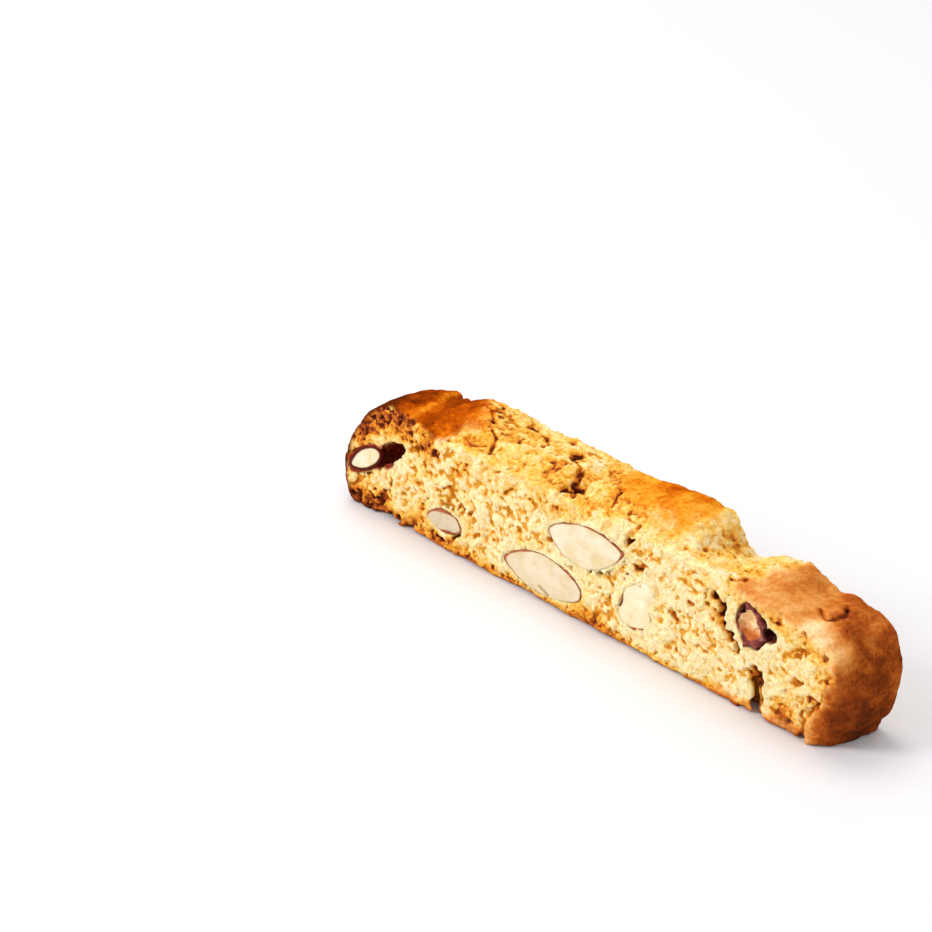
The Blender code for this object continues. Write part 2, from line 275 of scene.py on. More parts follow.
# Marks on the front cut: u is x and v is z. Depth is how far each sinks in, tone how much darker each is
# painted: browning, and in the holes, cracks and gaps marked so below, painted shade.
FRONT_SPOTS = [Spot(*row) for row in (
    # a toasted speck, and open creases of the left half
    (-34.4, 18.6, 4.4, 3.6, 10, 0.3, 0.52), (-41.3, 19.0, 3.2, 1.9, 12, 0.7, 0.36),
    (-45.2, 17.8, 3.6, 1.8, 25, 0.5, 0.26), (-49.0, 18.6, 3.8, 1.6, 10, 0.4, 0.2),
    (-38.6, 12.0, 4.4, 1.2, 30, 0.5, 0.2), (-44.0, 10.6, 3.6, 2.0, 40, 0.5, 0.24),
    (-30.4, 10.6, 4.2, 1.2, 25, 0.5, 0.24), (-27.0, 6.4, 2.6, 1.5, 35, 0.4, 0.22),
    (-23.0, 6.8, 2.4, 2.4, 60, 0.5, 0.28), (-20.5, 17.6, 5.2, 1.3, 28, 0.5, 0.24),
    (-24.5, 22.2, 4.2, 1.2, 20, 0.5, 0.24), (-15.0, 18.8, 3.2, 1.4, 35, 0.4, 0.2),
    # browned pits at the low left
    (-51.3, 8.3, 1.9, 1.3, 0, 0.9, 0.6), (-53.2, 6.4, 1.5, 1.1, 0, 0.8, 0.55),
    (-55.6, 4.6, 3.0, 1.9, 25, 1.4, 0.75), (-47.5, 7.0, 3.2, 1.1, 20, 0.5, 0.28),
    # round the small almond and below it
    (-42.6, 6.9, 3.4, 1.1, 15, 0.5, 0.4), (-32.2, 3.2, 3.0, 2.2, 10, 1.1, 0.7),
    (-37.9, 2.1, 3.0, 1.5, 0, 0.8, 0.55), (-43.2, 2.4, 2.8, 1.5, 20, 0.7, 0.45),
    (-28.6, 1.6, 2.4, 1.3, 0, 0.5, 0.4),
    # gaps along the large almonds, their browner tone a painted shadow
    (-7.4, 12.9, 4.6, 1.1, -30, 0.5, 0.42), (5.4, 11.7, 5.2, 2.0, 24, 0.5, 0.42),
    (9.4, 15.2, 2.6, 1.2, 60, 0.5, 0.46), (12.4, 17.4, 4.6, 2.2, -10, 0.5, 0.4),
    # the hole, its dark tone painted shade, and creases beside it
    (10.2, 21.3, 2.8, 2.2, 20, 2.2, 0.95), (9.4, 23.6, 1.4, 2.6, 0, 0.5, 0.4),
    (4.6, 22.2, 2.6, 1.2, 10, 0.4, 0.34), (-0.3, 22.8, 1.2, 2.2, 0, 0.4, 0.34),
    (-6.6, 19.6, 2.6, 1.2, 50, 0.6, 0.42), (-8.4, 21.6, 1.1, 3.6, 0, 0.5, 0.4),
    # pits of the right half, and, at 33 mm, a dip left of the crack whose darker tone is painted shade
    (23.2, 11.4, 3.4, 1.7, -15, 0.7, 0.4), (27.6, 14.9, 3.4, 1.5, 22, 0.9, 0.55),
    (25.2, 20.8, 3.0, 1.5, 25, 0.5, 0.26), (33.2, 16.0, 3.6, 5.2, 20, 0.7, 0.36),
    (33.6, 15.6, 2.8, 5.0, 25, 0.5, 0.2), (30.2, 7.2, 4.4, 1.1, 8, 0.6, 0.32),
    (36.0, 5.6, 4.4, 1.1, 10, 0.5, 0.32), (24.5, 5.0, 5.4, 1.0, -6, 0.4, 0.24),
    # beside the crack: a pocket whose dark tone is painted shade, and an orange spot
    (43.9, 8.0, 2.8, 3.0, -35, 1.7, 0.7), (41.2, 9.7, 2.6, 1.6, 0, 0.1, 0.46),
    # crumb of the right end
    (53.8, 20.9, 1.8, 1.4, 15, 0.6, 0.5), (47.0, 20.9, 1.1, 1.0, 0, 0.4, 0.5),
    (48.2, 11.2, 3.8, 1.2, 25, 0.5, 0.26), (53.4, 11.0, 4.6, 1.4, 12, 0.6, 0.3),
    (57.4, 8.0, 2.6, 2.6, 0, 0.6, 0.42), (51.2, 3.4, 1.5, 3.0, -25, 0.4, 0.18),
    (53.6, 3.2, 1.8, 2.2, 25, 0.4, 0.24), (58.8, 18.8, 2.4, 1.5, 20, 0.1, 0.36),
    (60.2, 14.2, 1.8, 2.0, 0, 0.3, 0.44),
    # between the browned knobs at the low left: bites whose darker tone is a painted shadow
    (-60.3, 0.7, 1.5, 3.0, 10, 1.3, 0.5), (-56.9, 0.8, 1.3, 2.8, -10, 1.3, 0.5),
    (-53.0, 1.0, 1.6, 3.2, 0, 1.4, 0.55), (-48.6, 0.4, 1.6, 2.2, 0, 1.1, 0.45),
    # pores of the toasted rim, and a floury crumb in it
    (-60.5, 17.6, 2.6, 1.1, 45, 0.4, 0.2), (-56.8, 19.6, 1.5, 1.1, 45, 0.4, 0.2),
    (-53.9, 21.0, 1.9, 1.4, 50, 0.2, 0.22), (-51.4, 22.8, 1.5, 2.0, 20, 0.2, 0.25),
    (-48.2, 22.9, 2.6, 1.0, 0, 0.3, 0.16), (-44.4, 23.0, 1.5, 1.0, 0, 0.3, 0.2),
    (-46.6, 22.0, 2.6, 1.3, -10, -0.2, -0.6),
)]
FRONT_STROKES = (          # the upper run of the crack, its dark tone painted shade
    Stroke(((32.4, 18.9), (34.2, 16.6), (35.7, 14.2), (36.6, 12.6), (38.4, 11.5)), 0.85, 2.1, 0.80),
)

# The back cut has the same kinds of mark, at places of its own.
BACK_SPOTS = [Spot(*row) for row in (
    (-52.0, 16.0, 2.4, 1.6, 30, 1.0, 0.48), (-33.6, 6.0, 3.0, 1.0, -20, 0.6, 0.25),
    (-36.8, 19.0, 2.6, 1.2, 20, 0.6, 0.24), (-47.0, 3.0, 2.2, 1.4, 0, 0.8, 0.48),
    (-27.4, 3.2, 3.6, 1.2, 8, 0.6, 0.3), (-8.4, 11.0, 2.6, 1.1, 35, 0.6, 0.29),
    (-4.2, 20.0, 2.2, 1.8, 0, 1.4, 0.57), (5.8, 17.0, 3.4, 1.0, -15, 0.5, 0.24),
    (15.6, 14.2, 2.4, 1.2, 25, 0.6, 0.28), (19.0, 5.6, 3.0, 0.9, 10, 0.5, 0.26),
    (25.0, 19.2, 2.4, 1.3, -30, 0.8, 0.36), (38.0, 5.0, 3.6, 1.1, 12, 0.6, 0.29),
    (45.8, 16.4, 1.8, 1.4, 0, 1.0, 0.48), (58.0, 15.0, 2.2, 1.2, 40, 0.6, 0.36),
    (57.0, 4.2, 1.8, 1.6, 0, 0.7, 0.38),
)]

# Marks on the top: u is x and v is y.
TOP_SPOTS = [Spot(*row) for row in (
    # the pit, painted dark inside, and pits elsewhere
    (-7.0, -4.0, 3.4, 2.8, -30, 0.8, 0.95), (-5.0, -5.2, 2.8, 1.8, 30, 0.2, 0.2),
    (35.0, -6.4, 1.8, 2.0, -10, 0.5, 0.6), (53.8, -1.6, 3.0, 4.6, 30, 0.2, 0.14),
    (21.8, 3.0, 1.4, 1.8, 0, 0.2, 0.12), (24.2, -2.6, 1.2, 2.2, 0, 0.3, 0.16),
    (7.4, -5.6, 2.8, 1.2, 10, 0.4, 0.34),
)]
TOP_STROKES = [Stroke(*row) for row in (
    # broken edges of the flakes, their darker tone a painted shadow
    (((-38.6, 6.2), (-36.4, 3.0), (-34.6, -0.6)), 0.69, 0.41, 0.48),
    (((-31.6, -2.8), (-30.0, -4.4), (-27.8, -5.6)), 0.57, 0.36, 0.48),
    (((-30.6, 8.4), (-29.0, 6.8), (-27.2, 6.0)), 0.63, 0.31, 0.60),
    (((-25.4, 4.4), (-23.4, 3.2), (-21.8, 1.6)), 0.52, 0.36, 0.41),
    (((-27.6, -0.2), (-26.2, -1.8)), 0.52, 0.36, 0.52),
    (((-14.8, 3.2), (-12.6, 0.6), (-9.4, -3.2)), 0.92, 0.61, 0.60),
    (((-14.4, -2.0), (-13.6, -4.8)), 0.63, 0.36, 0.52),
    (((-20.0, 7.2), (-16.6, 6.0)), 0.57, 0.31, 0.36),
    (((-9.8, -7.0), (-8.0, -6.0), (-5.6, -7.4)), 0.57, 0.41, 0.52),
    (((-3.4, -1.0), (-0.6, -0.4), (2.2, -2.4), (2.9, -4.4)), 0.57, 0.41, 0.36),
    # the end of the plate of crust, and the curled rim of the dent in the right end
    (((22.6, 8.8), (22.9, 2.0), (24.2, -4.4)), 0.46, 0.15, 0.13),
    (((51.0, -1.0), (52.2, -3.0), (54.5, -4.3), (55.8, -3.4), (55.3, 0.0), (53.2, 2.6)), 0.62, 0.60, 0.55),
)]
FOLD = ((-50.2, 8.8), (-49.6, 4.0), (-47.2, 0.0), (-46.0, -4.0), (-46.4, -9.0))   # between the lobes


def spot_reach(u, v, spot):
    """Distance from a spot's middle, which is 1 on its rim."""
    turn = math.radians(spot.angle)
    along = (u - spot.u) * math.cos(turn) + (v - spot.v) * math.sin(turn)
    across = (v - spot.v) * math.cos(turn) - (u - spot.u) * math.sin(turn)
    return np.hypot(along / (0.5 * spot.length), across / (0.5 * spot.width))


def stroke_gap(u, v, points):
    """Distance from a chain of straight runs."""
    best = np.full(np.broadcast(u, v).shape, 99.0, np.float32)
    for (u0, v0), (u1, v1) in zip(points, points[1:]):
        run = (u1 - u0) ** 2 + (v1 - v0) ** 2
        share = np.clip(((u - u0) * (u1 - u0) + (v - v0) * (v1 - v0)) / run, 0.0, 1.0)
        best = np.minimum(best, np.hypot(u - u0 - share * (u1 - u0), v - v0 - share * (v1 - v0)))
    return best


def marks(u, v, spots, strokes, quantity, wobble):
    """Sum of the spots' and strokes' depth or tone at some places on a face."""
    total = np.zeros(np.broadcast(u, v).shape, np.float32)
    for spot in spots:
        total += getattr(spot, quantity) * fall(0.25, 1.25, spot_reach(u, v, spot) + wobble)
    for stroke in strokes:
        gap = stroke_gap(u, v, stroke.points) / stroke.width
        total += getattr(stroke, quantity) * fall(0.1, 1.6, gap + wobble)
    return total


def face_marks(grid, quantity):
    """Depth or tone of all the marks, over the grid."""
    fields = [amount * noise(grid, cell, seed) for amount, cell, seed in
              ((0.60, 1.4, 51), (0.50, 1.3, 52), (0.32, 0.6, 53))]
    at_cut = [field[:, field.shape[1] // 4][:, None, :] for field in fields]
    at_top = [field[:, :, -field.shape[2] // 4][:, :, None] for field in fields]
    u, v = grid.x + at_cut[0], grid.z + at_cut[1]
    front = marks(u, v, FRONT_SPOTS, FRONT_STROKES, quantity, at_cut[2]) * step(-4.6, -6.6, grid.y)
    back = marks(u, v, BACK_SPOTS, (), quantity, at_cut[2]) * step(4.6, 6.6, grid.y)
    u, v = grid.x + at_top[0], grid.y + at_top[1]
    top = marks(u, v, TOP_SPOTS, TOP_STROKES, quantity, at_top[2]) * step(15.0, 18.0, grid.z)
    return front + back + top


# -------- the loaf's zones

def column_reach(inside, axis, places, last):
    """Place along an axis of the first or last cell inside the solid, for each row of cells."""
    if last:
        at = inside.shape[axis] - 1 - np.argmax(np.flip(inside, axis), axis=axis)
    else:
        at = np.argmax(inside, axis=axis)
    reach = places[at].astype(np.float32)
    reach[~inside.any(axis=axis)] = places[0] if last else places[-1]
    return reach


def skin_depth(base, grid):
    """How deep each cell lies below the loaf's baked skin, and below its top alone.

    The cut faces don't count: near them the depth of the slice's inner part carries on.
    """
    inside = base < 0.0
    inner = np.clip(np.arange(grid.shape[1]), *np.searchsorted(grid.axes[1], (-7.6, 7.6)))
    top = column_reach(inside, 2, grid.axes[2], True)[:, inner][:, :, None]
    left = column_reach(inside, 0, grid.axes[0], False)[inner][None, :, :]
    right = column_reach(inside, 0, grid.axes[0], True)[inner][None, :, :]
    below_top = (top - grid.z).astype(np.float32)
    depth = np.minimum(below_top, np.minimum(grid.x - left, right - grid.x))
    return np.minimum(depth, grid.z), below_top


def lip_gap(x, y, z):
    """How far a place is outside the line where the right end's crust rolls over onto a cut face."""
    line = np.interp(z, (0.0, 3.2, 5.9, 8.5, 11.0, 15.8, 20.0, 22.7),
                     (57.6, 57.4, 57.8, 59.4, 61.0, 62.0, 59.2, 55.9))
    return x - line - 3.0 * (y > 0.0)


def bare_top(grid):
    """How far inside the patches where the crust has come off each place on the top is."""
    x, y = grid.x, grid.y
    wander = noise(grid, 3.4, 41) + 0.7 * noise(grid, 1.5, 42)
    lobes_end = -34.6 - 0.70 * y - 0.9 * step(0.0, 8.0, y) + 2.0 * step(-3.0, -9.0, y)
    plate_start = -2.0 - 0.55 * y
    plate_end = 21.5 + 0.10 * y
    end_start = 37.0 + 0.25 * y
    middle = np.minimum(x - lobes_end, plate_start - x)
    gap = np.minimum(x - plate_end, end_start - x)
    edge = np.minimum(-5.4 - y, np.minimum(x + 37.0, 34.0 - x))
    return np.maximum(np.maximum(middle, gap) + wander, edge + 0.6 * wander)


# -------- the almonds' forms

Skinned = namedtuple("Skinned", "x z long wide angle sink side")
SKINNED_NUTS = {          # nuts seen in their skins, lying a little below the cut; side is -1 in front
    "almond_f": Skinned(41.4, 16.9, 8.2, 6.1, -62, 0.15, -1),
    "almond_k": Skinned(51.5, 9.0, 8.0, 6.2, 55, 0.2, 1),
}
BROAD_NUT = Spot(14.2, 9.4, 11.2, 7.2, 66)       # almond_d, which the knife met flat,
BROAD_FOOT = Spot(14.2, 7.0, 8.6, 5.8, 8)        # and its wider foot
HOLE = Spot(45.8, 16.7, 3.1, 3.1, 0, 3.6)        # the round hole beside almond_f
CAVITY = Spot(-53.9, 13.1, 9.6, 4.2, 38, 1.1)    # the hollow of a lost almond beside almond_e

Lap = namedtuple("Lap", "mean ragged")
LAPS = {                  # how far the crumb laps over the rim of a cut nut, in mm
    "almond_a": Lap(0.12, 0.05), "almond_b": Lap(0.12, 0.05), "almond_c": Lap(0.15, 0.08),
    "almond_d": Lap(0.24, 0.34), "almond_e": Lap(0.08, 0.30),
}
SEAM = Lap(-0.05, 0.0)    # a free line round each of the others


def skinned_reach(nut, grid):
    """1 on the outline of a skinned nut in the plane of the cut, with a ragged edge."""
    outline = Spot(nut.x, nut.z, nut.long, nut.wide, nut.angle)
    return spot_reach(grid.x, grid.z, outline) + 0.06 * noise(grid, 1.1, 45) + 0.03 * noise(grid, 0.5, 46)


def skinned_hole(grid):
    """The round hole beside the skinned nut of the front: positive inside it."""
    wall = (1.0 - spot_reach(grid.x, grid.z, HOLE)) * 1.5 + 0.10 * noise(grid, 1.1, 48)
    return np.minimum(wall, HOLE.depth - CUT_PLANE - grid.y)


def almond_distance(name, grid):
    """Distance to an almond as it is shown: the CAD's own, or a form that stands in its place."""
    if name == "almond_d":
        reach = np.minimum(spot_reach(grid.x, grid.z, BROAD_NUT), spot_reach(grid.x, grid.z, BROAD_FOOT))
        reach = reach + 0.07 * noise(grid, 1.9, 50)
        body = np.maximum((reach - 1.0) * 3.2, grid.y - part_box(name)[1].y / MM)
        return np.clip(np.maximum(body, -CUT_PLANE - grid.y), -PAD, PAD)
    if name not in SKINNED_NUTS:
        return node_distance(name, grid)
    nut = SKINNED_NUTS[name]
    depth = (CUT_PLANE - nut.sink) - nut.side * grid.y
    round_off = np.maximum(0.0, 1.0 - depth)
    swell = np.clip(depth - 3.0, 0.0, None) / 3.0
    reach = np.sqrt(skinned_reach(nut, grid) ** 2 + 0.08 * round_off ** 2 + swell ** 2)
    body = np.maximum((reach - 1.0) * 0.5 * nut.wide, -depth)
    if nut.side < 0:
        body = np.maximum(body, skinned_hole(grid))
    return np.clip(body, -PAD, PAD)


def seen_from_cut(name, nut):
    """A nut's distance, carried on straight out to the cut face that it lies in."""
    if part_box(name)[0].y < 0.0:
        return np.minimum.accumulate(nut[:, ::-1], axis=1)[:, ::-1]
    return np.minimum.accumulate(nut, axis=1)


# -------- relief

def crumb_relief(grid):
    """How far the crumb is broken away, how much painted shade its creases get from 0 to 1, and a tint of
    its own.
    """
    clumps = crease(grain(grid, 1.9, 11) + 0.50 * noise(grid, 0.9, 13), 1.7)
    crumbs = crease(grain(grid, 1.0, 21) + 0.45 * noise(grid, 0.6, 23), 1.7)
    bits = crease(noise(grid, 0.60, 31), 1.7)
    opened = step(-0.3, 1.7, noise(grid, 2.6, 12)) * mix(1.0, 0.50, step(-20.0, 6.0, grid.x))
    carve = -0.17 + (0.06 + 0.48 * opened) * clumps + (0.20 + 0.28 * opened) * crumbs + 0.26 * bits
    carve += 0.12 * noise(grid, 6.0, 61) + 0.06 * noise(grid, 1.9, 62)
    carve += 0.08 * noise(grid, 0.9, 63) + 0.08 * noise(grid, 0.5, 64)
    crease_shade = (0.12 + 0.74 * opened) * clumps ** 2 + (0.26 + 0.42 * opened) * crumbs ** 2
    crease_shade += 0.34 * bits ** 2
    tint = 0.5 + 0.16 * grain(grid, 1.6, 41) + 0.12 * noise(grid, 0.8, 42)
    return carve, crease_shade, tint


def toasted_pores(grid, depth):
    """Small holes in the browned crumb, along the left end's rim and low down: 0 none, 1 in a hole."""
    rim = fall(-48.0, -42.0, grid.x) * fall(3.0, 5.5, depth)
    low = fall(1.6, 3.2, grid.z) * (0.6 + 0.4 * fall(-24.0, -14.0, grid.x))
    return np.maximum(rim, low) * step(0.9, 1.7, noise(grid, 0.52, 65))


def crust_relief(grid):
    """How far the baked skin dips: soft bumps, fine wrinkles and, low down, pores."""
    x, y, z = grid.x, grid.y, grid.z
    carve = 0.10 * noise(grid, 4.2, 71) + 0.07 * noise(grid, 1.6, 72) + 0.04 * noise(grid, 0.7, 73)
    carve += 0.14 * step(34.0, 40.0, x) * noise(grid, 2.8, 74)
    low = fall(2.0, 7.0, z)
    carve += 0.5 * low * step(1.9, 2.6, noise(grid, 0.7, 75))
    carve += 0.18 * step(1.7, 2.4, noise(grid, 0.6, 76))
    gap = stroke_gap(x, y, FOLD)
    right = x > np.interp(y, [v for _, v in FOLD[::-1]], [u for u, _ in FOLD[::-1]])
    valley = np.where(right, -0.30 * bell(gap, 0.0, 3.0), 0.30 * bell(gap, 0.0, 2.4))
    line = 0.18 * bell(gap, 0.0, 0.55)
    carve += (valley + line) * step(16.0, 20.0, z)
    return carve


def corner_rounding(grid):
    """Carving that rolls the right end's crust over onto the cut faces."""
    over = np.maximum(lip_gap(grid.x, grid.y, np.broadcast_to(grid.z, (1, 1, grid.shape[2]))), 0.0)
    return 0.13 * over ** 2 * step(5.6, 8.8, np.abs(grid.y))


def bottom_rag(grid):
    """Bites out of the bottom's edges along the cut faces, between knobs of crust."""
    edge = step(6.4, 8.6, np.abs(grid.y))
    left = fall(-46.0, -36.0, grid.x)
    bites = step(-0.8, 1.4, noise(grid, (1.7, 3.0, 6.0), 81)) * fall(0.2, 2.2 + left, grid.z)
    return edge * (bites * (0.34 + 0.8 * left) + 0.35 * fall(0.0, 0.9, grid.z))


def low_lip(grid, over):
    """The foot of the right end's crust on the front cut: a raised edge with a groove along it."""
    ridge = 0.34 * bell(over, 0.7, 0.8) - 0.75 * bell(over, -0.9, 0.55)
    return ridge * fall(9.0, 13.0, grid.z) * step(-5.0, -7.0, grid.y)


# -------- the dough

CAD_CRACK = ((46.6, -1.0), (45.9, 2.6), (45.0, 6.2), (41.4, 9.6), (38.4, 13.0), (35.6, 16.4),
             (32.6, 19.4))
SLOT = ((44.9, 7.4), (45.7, 4.4), (46.0, 0.0), (46.0, -6.0))          # the crack's open lower end
SLOT_MOUTH = ((43.6, 8.8), (44.9, 6.2), (45.7, 3.0), (45.8, -2.0))    # and its flared mouth
SLOT_RUN = (0.80, 0.56)   # how far the slot slants in x and z for each mm that it goes in
SLOT_DEPTH = 4.6
MOUTH_DEPTH = 3.0
POCKET_FILL = 0.75        # how far round an almond its fitting gap is filled again
FLUSH_REACH = 1.3         # how far from an almond the crumb stays nearly level with its cut


def closed_dough(grid, nuts):
    """The CAD's dough with its crack and the gaps and pockets round the almonds closed."""
    crack = np.maximum(stroke_gap(grid.x, grid.z, CAD_CRACK) - 2.6, 0.25 - grid.z)
    fills = [np.maximum(crack, grid.y), node_distance("almond_d", grid) - POCKET_FILL]
    fills += [nut - POCKET_FILL for nut in nuts.values()]
    for nut in SKINNED_NUTS.values():
        pocket = Spot(nut.x + 0.6, nut.z, 13.5, 11.5, nut.angle)
        fills.append((spot_reach(grid.x, grid.z, pocket) - 1.0) * 5.0)
    inside_cut = np.abs(grid.y) - CUT_PLANE
    base = node_distance("dough", grid)
    for fill in fills:
        base = np.minimum(base, np.maximum(inside_cut, fill))
    return base


def with_openings(field, grid):
    """The dough with the slot of its crack and the openings in front of the skinned nuts cut in."""
    deep = grid.y + CUT_PLANE
    u, v = grid.x + SLOT_RUN[0] * deep, grid.z + SLOT_RUN[1] * deep
    ragged = 0.30 * noise(grid, 1.2, 47)
    slot = 0.55 + 0.75 * fall(0.0, 7.0, v) - stroke_gap(u, v, SLOT) + ragged
    field = np.maximum(field, np.minimum(slot, SLOT_DEPTH - deep))
    mouth = 1.25 + 0.35 * fall(0.0, 6.0, grid.z) - 0.55 * deep
    mouth = mouth - stroke_gap(grid.x, grid.z, SLOT_MOUTH) + ragged
    field = np.maximum(field, np.minimum(mouth, MOUTH_DEPTH - deep))
    field = np.maximum(field, skinned_hole(grid))
    for nut in SKINNED_NUTS.values():
        opening = (1.0 - skinned_reach(nut, grid)) * 0.5 * nut.wide
        field = np.maximum(field, np.minimum(opening, nut.side * grid.y - CUT_PLANE + nut.sink + 0.3))
    return field


def with_seats(field, grid, nuts):
    """The dough cut back to each nut's rim, over which the crumb laps raggedly."""
    ragged = np.maximum(noise(grid, 0.9, 49), 0.0)
    for name, nut in nuts.items():
        lap = LAPS.get(name, SEAM)
        field = np.maximum(field, -lap.mean - lap.ragged * ragged - seen_from_cut(name, nut))
    return field


Zones = namedtuple("Zones", "crust crumb look fringe bald over")


def dough_zones(grid, depth, below_top):
    """The baked skin's relief, and where the dough is crumb: 0 on the baked skin to 1.

    look, for the colour, has softer edges than crumb, for the relief. bald is 1 on the bare patches
    of the top, fringe along their edges, and over is the distance outside the right end's lip.
    """
    crust = crust_relief(grid)
    over = lip_gap(grid.x, grid.y, grid.z[0, 0][None, None, :]) + 0.5 * noise(grid, 1.4, 43)
    on_top = fall(4.5, 6.5, below_top)
    gap = bare_top(grid)
    bare = step(-0.60, 0.40, gap) * on_top
    fringe = bell(np.maximum(gap, 0.0), 0.0, 2.2) * on_top
    ragged = depth - crust + 0.12 * noise(grid, 1.2, 44)
    crumb = np.maximum(step(0.40, 0.80, ragged), bare) * fall(-0.5, 0.6, over)
    fade = mix(mix(1.5, 0.9, step(-44.0, -38.0, grid.x)), 3.4, step(33.0, 38.0, grid.x))
    high = step(9.0, 13.0, grid.z)
    lip_fade = fall(mix(-0.5, -2.0, high), mix(0.2, 0.8, high), over)
    look = np.maximum(step(0.3, fade, ragged), step(-2.6, 0.6, gap) * on_top) * lip_fade
    return Zones(crust, crumb, look, fringe, bare * fall(2.0, 4.0, below_top), over)


def dough_relief(grid, zones, nuts, depth):
    """How far the surface dips, how much painted shade the crumb's creases and pores get from 0 to 1, and
    the crumb's tint.
    """
    nearest = np.full(grid.shape, PAD, np.float32)
    for name, nut in nuts.items():
        if name not in SKINNED_NUTS:
            nearest = np.minimum(nearest, nut)
    carve, crease_shade, tint = crumb_relief(grid)
    carve *= mix(0.55, 1.0, step(0.0, FLUSH_REACH, nearest))
    carve = carve * (1.0 - 0.35 * zones.bald) + 0.10 * zones.bald
    crease_shade *= 1.0 - 0.50 * zones.bald
    pores = toasted_pores(grid, depth)
    carve += 0.40 * pores
    crease_shade += 0.9 * pores
    relief = mix(zones.crust, carve, zones.crumb)
    shaped = face_marks(grid, "depth") + corner_rounding(grid) + bottom_rag(grid)
    relief += shaped - low_lip(grid, zones.over)
    opening = spot_reach(grid.x, grid.z, CAVITY) + 0.22 * noise(grid, 0.9, 54)
    relief += CAVITY.depth * fall(0.6, 1.0, opening) * (grid.y < 0.0)
    return relief, crease_shade, tint


def build_dough():
    """The slice's crumb and crust, as one mesh."""
    low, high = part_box("dough")
    grid = Grid(low / MM, high / MM, DOUGH_CELL)
    nuts = {name: almond_distance(name, grid) for name in ALMONDS}
    base = closed_dough(grid, nuts)
    depth, below_top = skin_depth(base, grid)
    zones = dough_zones(grid, depth, below_top)
    relief, crease_shade, tint = dough_relief(grid, zones, nuts, depth)
    field = with_seats(with_openings(base + relief, grid), grid, nuts)
    field = np.maximum(field, -grid.z)
    dough = mesh_object("dough_visual", *surface_mesh(field, grid), DOUGH_TRIANGLES)
    places = mesh_points(dough)
    set_mask(dough, "crumb", grid.sample(zones.look, places))
    set_mask(dough, "tint", grid.sample(tint, places))
    # The hollow mask is painted shade: creases and hollows of the surface get a darker, more golden
    # colour, less of it on the right.
    fine, broad = (-grid.sample(blurred(field, grid, spread), places) for spread in (0.5, 1.4))
    shade = 0.10 - 0.09 * step(8.0, 18.0, places[:, 0])
    set_mask(dough, "hollow", shade + 0.85 * grid.sample(crease_shade, places) + 1.4 * fine + 0.75 * broad)
    paint_baking(dough, places, grid, depth, zones.fringe)
    paint_stains_and_hole_shade(dough, places, grid, nuts)
    dough.data.materials.append(dough_material())
    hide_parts("dough")
    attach(dough, "root")


# -------- how the dough is baked, and the shade and highlights painted on it

def crumb_toast(x, y, z, depth):
    """How browned the crumb is, 0 pale to 1 dark: near the crust, low on the left and high up."""
    inward = np.maximum(depth, 0.0)
    top = fall(2.0, 5.0, inward) * step(15.0, 18.0, z)
    middle = step(-38.0, -32.0, x) * fall(0.0, 12.0, x)
    toast = 0.11 + 0.05 * fall(-44.0, -24.0, x) - 0.04 * step(12.0, 20.0, x)
    toast += 0.08 * middle * step(15.0, 22.0, z) + 0.10 * middle * top
    toast += 0.05 * step(16.0, 26.0, x) * step(14.0, 22.0, z) + 0.10 * step(12.0, 18.0, x) * top
    step_wall = step(22.0, 26.0, x) * fall(35.0, 40.0, x) * step(14.0, 18.0, z)
    toast += (0.03 + 0.12 * step(-8.6, -7.2, y)) * step_wall
    toast -= 0.09 * bell(x, 22.0, 2.6) * step(17.0, 20.0, z)
    toast -= 0.26 * bell(x, -10.0, 3.4) * bell(y, 3.0, 4.0) * step(20.0, 23.0, z)
    toast += 0.22 * step(44.0, 56.0, x) + 0.20 * step(42.0, 50.0, x) * fall(3.0, 10.0, z)
    return toast + edge_toast(x, z, inward)


def edge_toast(x, z, inward):
    """The browning beside the crust: the left end's rim, the line under the skin and the low band."""
    rim = fall(-46.0, -39.0, x) * step(11.0, 15.0, z)
    toast = 0.52 * rim * np.exp(-(inward / 6.8) ** 4)
    edge = fall(18.0, 24.0, x) - 0.9 * rim
    toast += 0.14 * np.exp(-inward / 0.8) * (z > 3.0) * np.clip(edge, 0.0, 1.0)
    band = 1.9 + 1.7 * fall(-40.0, -14.0, x) + 2.0 * bell(x, 4.0, 5.0)
    toast += 0.50 * np.exp(-(z / band) ** 4) + 0.16 * fall(0.2, 1.2, z)
    return toast + 0.28 * bell(np.hypot(x + 64.0, 1.7 * z), 0.0, 11.0)


def crust_bake(x, y, z):
    """How dark the crust is baked, 0 pale gold to 1 dark brown."""
    bake = 0.37 + 0.26 * fall(-41.0, -33.0, x + 0.55 * y)
    bake += 0.15 * fall(-49.0, -38.0, x - 0.8 * y) + 0.24 * fall(-60.0, -51.0, x + 0.3 * y)
    # paler beside the fold between the lobes: partly the crust's own colour, partly a painted sheen
    bake -= 0.24 * bell(stroke_gap(x + 1.8, y, FOLD), 0.0, 1.3) * step(16.0, 20.0, z)
    bake -= 0.30 * bell(x, 22.5, 2.8)
    bake += 0.18 * bell(x, 9.0, 6.0) * bell(y, 7.0, 4.5)
    bake += 0.12 * step(-8.0, -3.0, x) * fall(16.0, 20.0, x) * step(-1.0, -5.0, y)
    bake += end_bake(x, y, z)
    low = 0.70 * fall(0.4, 2.0, z) * (x < 56.0)
    left = 0.70 * fall(-60.0, -54.0, x) * fall(12.0, 22.0, z)
    return np.maximum(np.maximum(bake, low), left)


